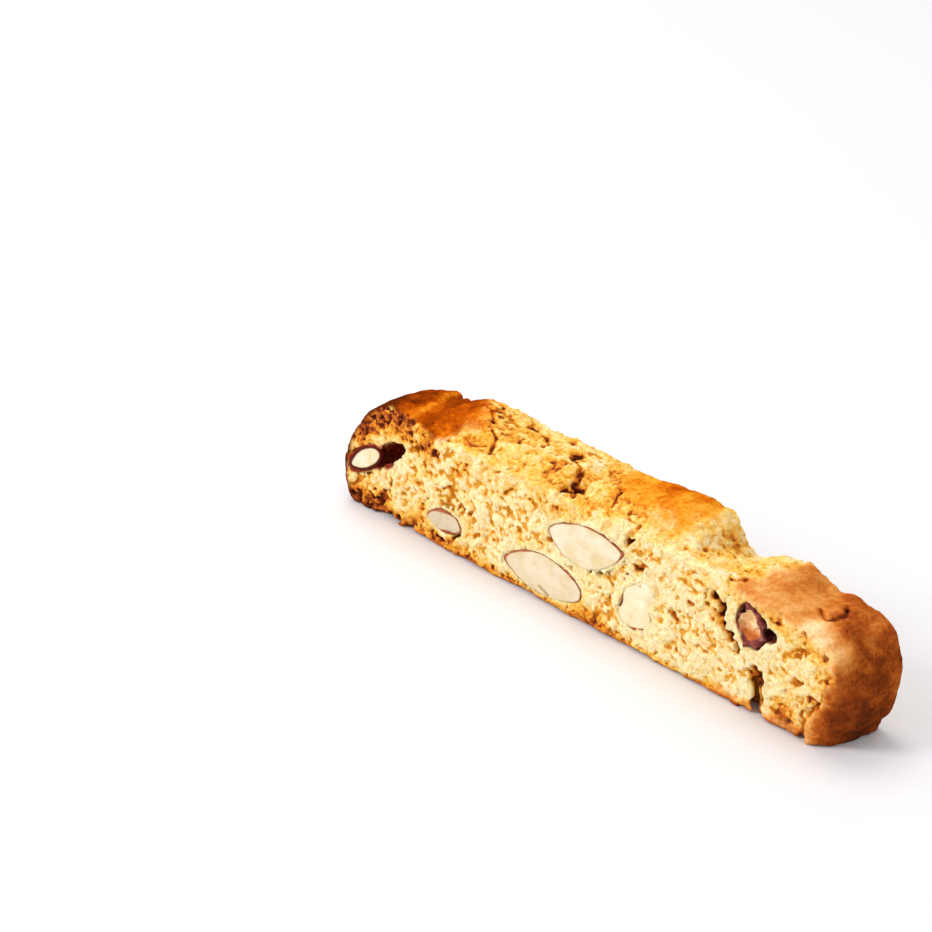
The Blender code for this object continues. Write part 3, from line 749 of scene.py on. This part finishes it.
def end_bake(x, y, z):
    """The right end's share of the baking: darker far out and low, paler at the front, and a painted
    highlight along the lip.
    """
    bake = 0.10 * step(37.0, 42.0, x) * step(-7.0, -2.0, y) * fall(8.0, 10.0, y)
    bake += 0.20 * step(50.0, 57.0, x + 0.5 * y) + 0.08 * step(60.0, 64.0, x)
    bake += 0.20 * step(54.0, 62.0, x) * fall(1.0, 15.0, z + 0.5 * y)
    shoulder = step(50.0, 55.0, x) * fall(60.0, 64.0, x) * fall(-7.5, -3.0, y) * step(12.0, 17.0, z)
    bake -= 0.30 * shoulder
    # paler along the ridge of the lip: a painted highlight
    return bake - 0.24 * bell(lip_gap(x, y, z), 0.7, 0.9) * fall(9.0, 13.0, z) * (y < -6.0)


def paint_baking(dough, places, grid, depth, fringe):
    """Stores how toasted the crumb is and how dark and how tan the crust is; the marks' tone adds browning
    and, in holes, cracks and gaps, painted shade.
    """
    x, y, z = places.T
    wander = grid.sample(noise(grid, 2.2, 66), places)
    tone = grid.sample(face_marks(grid, "tone"), places)
    toast = crumb_toast(x + wander, y, z * (1.0 - 0.22 * wander), grid.sample(depth, places))
    toast += 0.16 * grid.sample(toasted_pores(grid, depth), places)
    slot_wall = fall(1.0, 2.2, stroke_gap(x, z, SLOT_MOUTH))
    toast += 0.42 * slot_wall * step(0.1, 0.9, y + CUT_PLANE) * (y < 0.0)
    # the marks' tone, browning and in places painted shade, darkens the crumb and the crust
    set_mask(dough, "toast", toast + 0.8 * tone + 0.10 * grid.sample(fringe, places))
    set_mask(dough, "bake", crust_bake(x, y, z) + 0.5 * tone)
    set_mask(dough, "tan", step(30.0, 40.0, x) + fall(0.5, 3.0, z))


def paint_stains_and_hole_shade(dough, places, grid, nuts):
    """Stores where the crumb took the colour of the almonds' skins, and the painted shade inside the round
    hole beside almond_f.
    """
    x, y, z = places.T
    wander, frayed = (grid.sample(noise(grid, *way), places) for way in ((2.2, 66), (0.6, 67)))
    behind_cut = y + CUT_PLANE
    cavity = spot_reach(x, z, CAVITY) + 0.08 * wander + 0.08 * frayed
    stain_and_hole_shade = fall(0.95, 1.20, cavity) * step(-0.2, 0.2, behind_cut) * (y < 0.0)
    # inside the round hole beside almond_f: painted shade
    hole = fall(1.0, 1.3, spot_reach(x, z, HOLE)) * step(0.1, 0.6, behind_cut) * (y < 0.0)
    stain_and_hole_shade = np.maximum(stain_and_hole_shade, hole)
    stain_and_hole_shade = np.maximum(stain_and_hole_shade, fall(0.35, 0.7, grid.sample(nuts["almond_e"], places) + 0.22 * frayed))
    for name in SKINNED_NUTS:
        stain_and_hole_shade = np.maximum(stain_and_hole_shade, 0.9 * fall(0.2, 0.6, grid.sample(nuts[name], places)))
    set_mask(dough, "stain_and_hole_shade", stain_and_hole_shade)


# -------- almonds

DULL_AND_SHADE = {"almond_c": 1.0, "almond_a": 0.25}        # shares of the duller flesh, partly painted shade on almond_c, and of the paler flesh
PALE = {"almond_d": 1.0, "almond_e": 0.2}
NICK = ((-9.6, 3.0), (-8.4, 2.5), (-7.2, 2.1))    # where a sliver split off almond_a


def skin_width(name, places, patch):
    """Width in mm of the brown skin seen round a cut almond: more of it on one side, patchy."""
    aside, _, upper = ((places - places.mean(0)) / np.ptp(places, axis=0)).T
    if name == "almond_d":
        return -0.2 + 0.75 * step(0.16, 0.40, 0.25 * aside - upper) + 0.15 * patch
    if name == "almond_e":
        return 0.46 + 0.07 * patch - 0.34 * upper
    if name == "almond_c":
        return 0.30 + 0.26 * patch + 0.36 * upper
    wide = 0.14 if name == "almond_a" else 0.07
    return wide + 0.08 * patch + 0.34 * upper - 0.20 * aside + 0.5 * np.maximum(aside - 0.38, 0.0)


def cut_outline(name, grid, body):
    """Distance from a nut's outline in the cut face, carried on through its depth; negative inside."""
    if name in SKINNED_NUTS:
        nut = SKINNED_NUTS[name]
        outline = (1.0 - skinned_reach(nut, grid)) * -0.5 * nut.wide
    else:
        low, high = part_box(name)
        under_cut = low.y / MM + 1.0 if low.y < 0.0 else high.y / MM - 1.0
        row = np.searchsorted(grid.axes[1], under_cut)
        outline = body[:, row:row + 1, :]
    return np.ascontiguousarray(np.broadcast_to(outline, body.shape))


def almond_relief(name, grid, rim, seed):
    """How far an almond's surface dips."""
    carve = 0.05 * noise(grid, 2.4, seed) + 0.015 * noise(grid, 0.7, seed + 1)
    if name in SKINNED_NUTS:
        coarse, fine = noise(grid, 0.9, seed + 2), noise(grid, 0.45, seed + 4)
        carve += mix(0.50, 0.0, fall(0.8, 1.6, -rim)) + 0.16 * coarse + 0.10 * fine
    if name == "almond_a":
        carve = carve + bell(stroke_gap(grid.x, grid.z, NICK), 0.0, 0.20)
    if name == "almond_d":
        carve = carve + 0.06 * noise(grid, 1.2, seed + 5)
    return carve


def paint_almond(almond, name, grid, rim, seed):
    """Stores the masks that the almonds' materials read."""
    places = mesh_points(almond)
    edge = -grid.sample(rim, places)
    patch = grid.sample(noise(grid, 2.2, seed + 3), places)
    width = np.clip(skin_width(name, places, patch), -0.2, 1.1)
    set_mask(almond, "skin", fall(0.0, 0.20, edge - width))
    set_mask(almond, "middle", step(0.55, 1.25, edge + 0.12 * patch))
    # duller flesh: almond_a's own, almond_c's partly painted shade
    set_mask(almond, "dull_and_shade", DULL_AND_SHADE.get(name, 0.0))
    x, y, z = places.T
    rise = (z - z.min()) / np.ptp(z)
    set_mask(almond, "pale", rise if name in SKINNED_NUTS else PALE.get(name, 0.0))
    # almond_f is painted dark as shade where it lines the round hole; almond_e's skin is dark of its own
    hole_shade_on_skin = fall(0.95, 1.35, spot_reach(x, z, HOLE))
    set_mask(almond, "dark_skin_and_hole_shade", {"almond_e": 1.0, "almond_f": hole_shade_on_skin}.get(name, 0.0))


def build_almond(name, kernel_look, skin_look):
    """An almond cut by the knife: its body, with soft edges and a thin brown skin."""
    low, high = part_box(name)
    grid = Grid(low / MM, high / MM, ALMOND_CELL)
    body = almond_distance(name, grid)
    rim = cut_outline(name, grid, body)
    seed = 100 + 7 * ALMONDS.index(name)
    if name == "almond_d":
        body = np.maximum(body, 0.1 - CUT_PLANE - grid.y)
    field = blurred(body, grid, 0.2) + almond_relief(name, grid, rim, seed)
    almond = mesh_object(name + "_visual", *surface_mesh(field, grid))
    paint_almond(almond, name, grid, rim, seed)
    almond.data.materials.append(skin_look if name in SKINNED_NUTS else kernel_look)
    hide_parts(name)
    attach(almond, "root")


# -------- materials

def srgb(red, green, blue):
    """A display colour, 0 to 255, as the linear colour that a shader takes."""
    parts = [channel / 255.0 for channel in (red, green, blue)]
    return tuple(c / 12.92 if c <= 0.04045 else ((c + 0.055) / 1.055) ** 2.4 for c in parts) + (1.0,)


class Look:
    """A node material under construction."""

    def __init__(self, name):
        self.mat = bpy.data.materials.new(name)
        self.mat.use_nodes = True
        self.nodes = self.mat.node_tree.nodes
        self.shader = self.nodes["Principled BSDF"]
        self.place = self.node("TexCoord", {})["Object"]

    def put(self, socket, value):
        """Links or sets a socket."""
        if isinstance(value, bpy.types.NodeSocket):
            self.mat.node_tree.links.new(value, socket)
        else:
            socket.default_value = value

    def set(self, name, value):
        self.put(self.shader.inputs[name], value)

    def node(self, kind, inputs, **settings):
        """The outputs of a new node."""
        node = self.nodes.new("ShaderNode" + kind)
        for name, value in settings.items():
            setattr(node, name, value)
        for key, value in inputs.items():
            self.put(node.inputs[key], value)
        return node.outputs

    def mask(self, name):
        return self.node("Attribute", {}, attribute_name=name)["Fac"]

    def math(self, operation, first, second=0.0, clamp=False):
        return self.node("Math", {0: first, 1: second}, operation=operation, use_clamp=clamp)[0]

    def noise(self, scale, detail=3.0, rough=0.55, stretch=None, distortion=0.0):
        """Noise in the object's own space; scale is in waves per metre."""
        place = self.place
        if stretch is not None:
            place = self.node("Mapping", {"Scale": stretch, "Vector": place})["Vector"]
        shape = {"Scale": scale, "Detail": detail, "Roughness": rough, "Distortion": distortion}
        return self.node("TexNoise", {"Vector": place, **shape})["Fac"]

    def spread(self, value, low, high, out_low=0.0, out_high=1.0):
        """A smooth step from one output to another."""
        ends = {"From Min": low, "From Max": high, "To Min": out_low, "To Max": out_high}
        return self.node("MapRange", {"Value": value, **ends}, interpolation_type="SMOOTHSTEP")["Result"]

    def varied(self, value, *sources):
        """A value with more added to it: each source has its range, and what its two ends add."""
        for source, low, high, least, most in sources:
            value = self.math("ADD", value, self.spread(source, low, high, least, most))
        return value

    def ramp(self, value, stops):
        node = self.nodes.new("ShaderNodeValToRGB")
        elements = node.color_ramp.elements
        while len(elements) < len(stops):
            elements.new(1.0)
        for element, (place, *colour) in zip(elements, stops):
            element.position = place
            element.color = srgb(*colour)
        self.put(node.inputs["Fac"], value)
        return node.outputs["Color"]

    def blend(self, first, second, share):
        """A colour between two."""
        return self.node("Mix", {0: share, 6: first, 7: second}, data_type="RGBA")[2]

    def bump(self, height, distance):
        return self.node("Bump", {"Distance": distance, "Height": height})["Normal"]


# Colours by value: each row is a place from 0 to 1, then red, green and blue as displayed.
CRUMB_STOPS = (
    (0.0, 250, 230, 182), (0.20, 247, 212, 138), (0.38, 244, 190, 84), (0.52, 235, 160, 52),
    (0.66, 216, 124, 46), (0.80, 172, 82, 34), (1.0, 100, 42, 20),
)
# The painted shade of the crumb's creases, by how toasted the crumb is.
CREASE_SHADE_STOPS = (
    (0.0, 240, 188, 92), (0.20, 226, 160, 54), (0.45, 204, 118, 30), (0.66, 160, 78, 24),
    (1.0, 78, 28, 16),
)
GLAZED_STOPS = (
    (0.0, 232, 196, 120), (0.22, 222, 160, 62), (0.36, 214, 140, 34), (0.50, 196, 102, 12),
    (0.64, 166, 70, 5), (0.80, 124, 48, 5), (1.0, 80, 30, 6),
)
TAN_STOPS = (
    (0.0, 236, 208, 160), (0.22, 222, 172, 112), (0.36, 208, 142, 76), (0.50, 194, 118, 50),
    (0.64, 170, 86, 30), (0.80, 132, 58, 20), (1.0, 80, 36, 18),
)
# Stains, and the painted shade inside the round hole beside almond_f.
STAIN_AND_SHADE_STOPS = ((0.0, 96, 28, 18), (0.5, 142, 50, 28), (1.0, 206, 116, 76))
FLESH_STOPS = ((0.36, 206, 186, 138), (0.46, 209, 192, 154), (0.58, 219, 205, 180))
# Duller flesh, on almond_c partly painted shade.
DULL_AND_SHADE_STOPS = ((0.35, 180, 164, 132), (0.52, 196, 182, 154), (0.7, 196, 168, 142))
PALE_STOPS = ((0.36, 214, 188, 142), (0.5, 226, 204, 168), (0.64, 232, 214, 186))
BROWN_STOPS = ((0.3, 112, 46, 24), (0.55, 160, 88, 54), (0.8, 202, 144, 108))
BROWN_DARK = (78, 18, 10)
SKIN_STOPS = ((0.3, 92, 32, 30), (0.5, 132, 64, 58), (0.75, 184, 130, 116))
# The painted shade on almond_f's skin beside the round hole.
SKIN_HOLE_SHADE = (46, 12, 8)
NUT_HIGH_STOPS = ((0.35, 206, 156, 100), (0.52, 222, 184, 130), (0.7, 236, 212, 172))
NUT_LOW_STOPS = ((0.35, 168, 84, 40), (0.52, 200, 114, 54), (0.7, 222, 160, 104))


def dough_colour(look, crumb, hollow, specks, flecks, deep):
    """The colour of crust, crumb and stains; deep is the share of the painted shade of the creases."""
    patches = look.noise(260.0, 4.0)
    toasted = look.mask("toast")
    # hollows painted darker and more golden, bumps paler: painted shade and painted highlight
    toast = look.varied(toasted, (patches, 0.3, 0.7, -0.09, 0.09), (specks, 0.3, 0.7, -0.12, 0.12),
                        (look.mask("tint"), 0.2, 0.8, -0.10, 0.10), (hollow, 0.05, 0.65, -0.11, 0.15),
                        (flecks, 0.64, 0.76, 0.0, 0.20))
    burnt = look.spread(toasted, 0.36, 0.60, 0.0, 0.30)
    toast = look.math("ADD", toast, look.math("MULTIPLY", look.spread(specks, 0.60, 0.70), burnt))
    crumb_colour = look.blend(look.ramp(toast, CRUMB_STOPS), look.ramp(toast, CREASE_SHADE_STOPS), deep)
    streaks = look.noise(300.0, 5.0, 0.6, (1.0, 0.5, 1.0), 0.4)
    # the crust's hollows painted darker: painted shade
    bake = look.varied(look.mask("bake"), (streaks, 0.25, 0.75, -0.12, 0.12),
                       (specks, 0.3, 0.7, -0.06, 0.06), (patches, 0.3, 0.7, -0.07, 0.07),
                       (hollow, 0.5, 0.9, 0.0, 0.12))
    crust_colour = look.blend(look.ramp(bake, GLAZED_STOPS), look.ramp(bake, TAN_STOPS), look.mask("tan"))
    colour = look.blend(crust_colour, crumb_colour, crumb)
    # stains, and the painted shade inside the round hole
    return look.blend(colour, look.ramp(specks, STAIN_AND_SHADE_STOPS), look.mask("stain_and_hole_shade"))


def dough_material():
    """Dull crumb with painted shade in its creases and gaps, and smoother baked crust."""
    look = Look("baked_dough_look")
    crumb, hollow = look.mask("crumb"), look.mask("hollow")
    specks = look.noise(1500.0, 3.0, 0.6)
    flecks = look.noise(620.0, 2.0, 0.5)
    gaps = look.noise(1050.0, 3.0, 0.6, (0.7, 1.0, 1.0))
    veins = look.math("ABSOLUTE", look.math("SUBTRACT", look.noise(760.0, 2.0, 0.5), 0.5))
    veins = look.spread(veins, 0.0, 0.035, 0.60, 0.0)
    veins = look.math("MULTIPLY", veins, look.spread(flecks, 0.42, 0.60))
    # deep is painted shade: the hollows, the fine gaps and the veins of the crumb take the crease colours
    gap_shade = look.spread(gaps, 0.30, 0.50, 0.50, 0.0)
    deep = look.math("ADD", look.spread(hollow, 0.34, 0.86), gap_shade, True)
    deep = look.math("ADD", deep, veins, True)
    look.set("Base Color", dough_colour(look, crumb, hollow, specks, flecks, deep))
    gloss = look.spread(look.noise(900.0), 0.3, 0.7, 0.36, 0.55)
    look.set("Roughness", look.spread(crumb, 0.2, 0.8, gloss, 0.9))
    look.set("Specular IOR Level", 0.0)
    look.set("Subsurface Weight", look.spread(crumb, 0.0, 1.0, 0.10, 0.65))
    look.set("Subsurface Radius", (1.0, 0.56, 0.24))
    look.set("Subsurface Scale", 0.9 * MM)
    rough = look.math("ADD", look.math("MULTIPLY", look.noise(2100.0, 4.0, 0.7), 1.4),
                      look.math("SUBTRACT", look.math("MULTIPLY", gaps, 1.2), veins))
    smooth = look.math("ADD", look.noise(1800.0, 4.0), look.math("MULTIPLY", look.noise(600.0, 4.0), 1.4))
    normals = {4: look.bump(smooth, 0.18 * MM), 5: look.bump(rough, 0.50 * MM)}
    look.set("Normal", look.node("Mix", {0: crumb, **normals}, data_type="VECTOR")[1])
    return look.mat


def kernel_material():
    """The cut flesh of an almond, with the thin brown skin round it."""
    look = Look("almond_kernel_look")
    cloud = look.noise(240.0, 4.0)
    fibre = look.noise(900.0, 4.0, 0.6, (0.25, 1.0, 1.0))
    tone = look.math("ADD", look.math("MULTIPLY", cloud, 0.7), look.math("MULTIPLY", fibre, 0.3))
    flesh = look.ramp(tone, FLESH_STOPS)
    # almond_c's duller flesh is partly painted shade
    flesh = look.blend(flesh, look.ramp(look.noise(500.0), DULL_AND_SHADE_STOPS), look.mask("dull_and_shade"))
    flesh = look.blend(flesh, look.ramp(cloud, PALE_STOPS), look.mask("pale"))
    brown = look.blend(look.ramp(fibre, BROWN_STOPS), srgb(*BROWN_DARK), look.mask("dark_skin_and_hole_shade"))
    look.set("Base Color", look.blend(flesh, brown, look.mask("skin")))
    look.set("Roughness", look.spread(cloud, 0.3, 0.7, 0.28, 0.44))
    look.set("Specular IOR Level", look.spread(look.mask("skin"), 0.0, 1.0, 0.42, 0.05))
    look.set("Subsurface Weight", 0.25)
    look.set("Subsurface Radius", (1.0, 0.7, 0.4))
    look.set("Subsurface Scale", 1.2 * MM)
    height = look.math("ADD", fibre, look.math("MULTIPLY", look.noise(3000.0), 0.4))
    look.set("Normal", look.bump(height, 0.16 * MM))
    return look.mat


def skin_material():
    """A nut in its dark skin, with the kernel showing in the middle."""
    look = Look("almond_skin_look")
    fibre = look.noise(900.0, 5.0, 0.65, (0.5, 1.0, 0.7))
    cloud = look.noise(420.0)
    shade = look.varied(look.mask("middle"), (fibre, 0.3, 0.7, -0.30, 0.30))
    # almond_f's skin beside the round hole is painted dark as shade
    skin = look.blend(look.ramp(fibre, SKIN_STOPS), srgb(*SKIN_HOLE_SHADE), look.mask("dark_skin_and_hole_shade"))
    rise = look.spread(look.mask("pale"), 0.35, 0.60)
    kernel = look.blend(look.ramp(cloud, NUT_LOW_STOPS), look.ramp(cloud, NUT_HIGH_STOPS), rise)
    look.set("Base Color", look.blend(skin, kernel, look.spread(shade, 0.45, 0.65)))
    look.set("Roughness", look.spread(fibre, 0.3, 0.7, 0.45, 0.65))
    look.set("Specular IOR Level", 0.08)
    height = look.math("ADD", fibre, look.math("MULTIPLY", look.noise(1500.0), 0.8))
    look.set("Normal", look.bump(height, 0.5 * MM))
    return look.mat


# -------- stage

CAMERA_PLACE = Vector((0.38387, -0.49006, 0.30180))
CAMERA_RIGHT = Vector((0.71259, 0.69025, 0.12556))
CAMERA_UP = Vector((-0.36662, 0.21376, 0.90548))
CAMERA_LENS = 137.14      # mm
SENSOR = 36.0             # mm
FLOOR_SIDE = 6.0          # m
FLOOR_WHITE = (0.70, 0.70, 0.73, 1.0)
SKY_WHITE = (1.0, 0.98, 0.955, 1.0)
SKY_POWER = 0.90

LAMPS = (                 # name, place, size in metres, watts and colour
    ("key", (-0.5, 0.15, 0.9), 0.6, 4.0, (1.0, 0.97, 0.93)),
    ("fill", (-0.40, -0.78, 0.52), 0.4, 7.0, (1.0, 0.98, 0.95)),
)


def build_camera():
    """The camera, which looks down at the cut face."""
    data = bpy.data.cameras.new("camera")
    data.sensor_width = SENSOR
    data.lens = CAMERA_LENS
    data.clip_start = 0.01
    camera = placed("camera", data)
    away = CAMERA_RIGHT.cross(CAMERA_UP)
    turn = Matrix((CAMERA_RIGHT, CAMERA_UP, away)).transposed().to_4x4()
    camera.matrix_world = Matrix.Translation(CAMERA_PLACE) @ turn
    bpy.context.scene.camera = camera


def build_lamp(name, place, size, power, colour):
    """A soft round lamp that points at the middle of the scene."""
    data = bpy.data.lights.new(name, "AREA")
    data.shape = "DISK"
    data.size = size
    data.energy = power
    data.color = colour
    lamp = placed(name, data)
    lamp.location = place
    lamp.rotation_euler = (-Vector(place)).to_track_quat("-Z", "Y").to_euler()


def build_floor():
    """A plain pale floor."""
    bpy.ops.mesh.primitive_plane_add(size=FLOOR_SIDE)
    floor = bpy.context.object
    floor.name = "floor"
    look = Look("floor_white")
    look.set("Base Color", FLOOR_WHITE)
    look.set("Roughness", 0.6)
    floor.data.materials.append(look.mat)


def build_stage():
    """Floor, sky and lamps."""
    build_floor()
    world = bpy.data.worlds.new("studio")
    world.use_nodes = True
    background = world.node_tree.nodes["Background"]
    background.inputs["Color"].default_value = SKY_WHITE
    background.inputs["Strength"].default_value = SKY_POWER
    bpy.context.scene.world = world
    for lamp in LAMPS:
        build_lamp(*lamp)
    bpy.context.scene.view_settings.view_transform = "Standard"


build_camera()
build_stage()
build_dough()
looks = kernel_material(), skin_material()
for almond_name in ALMONDS:
    build_almond(almond_name, *looks)
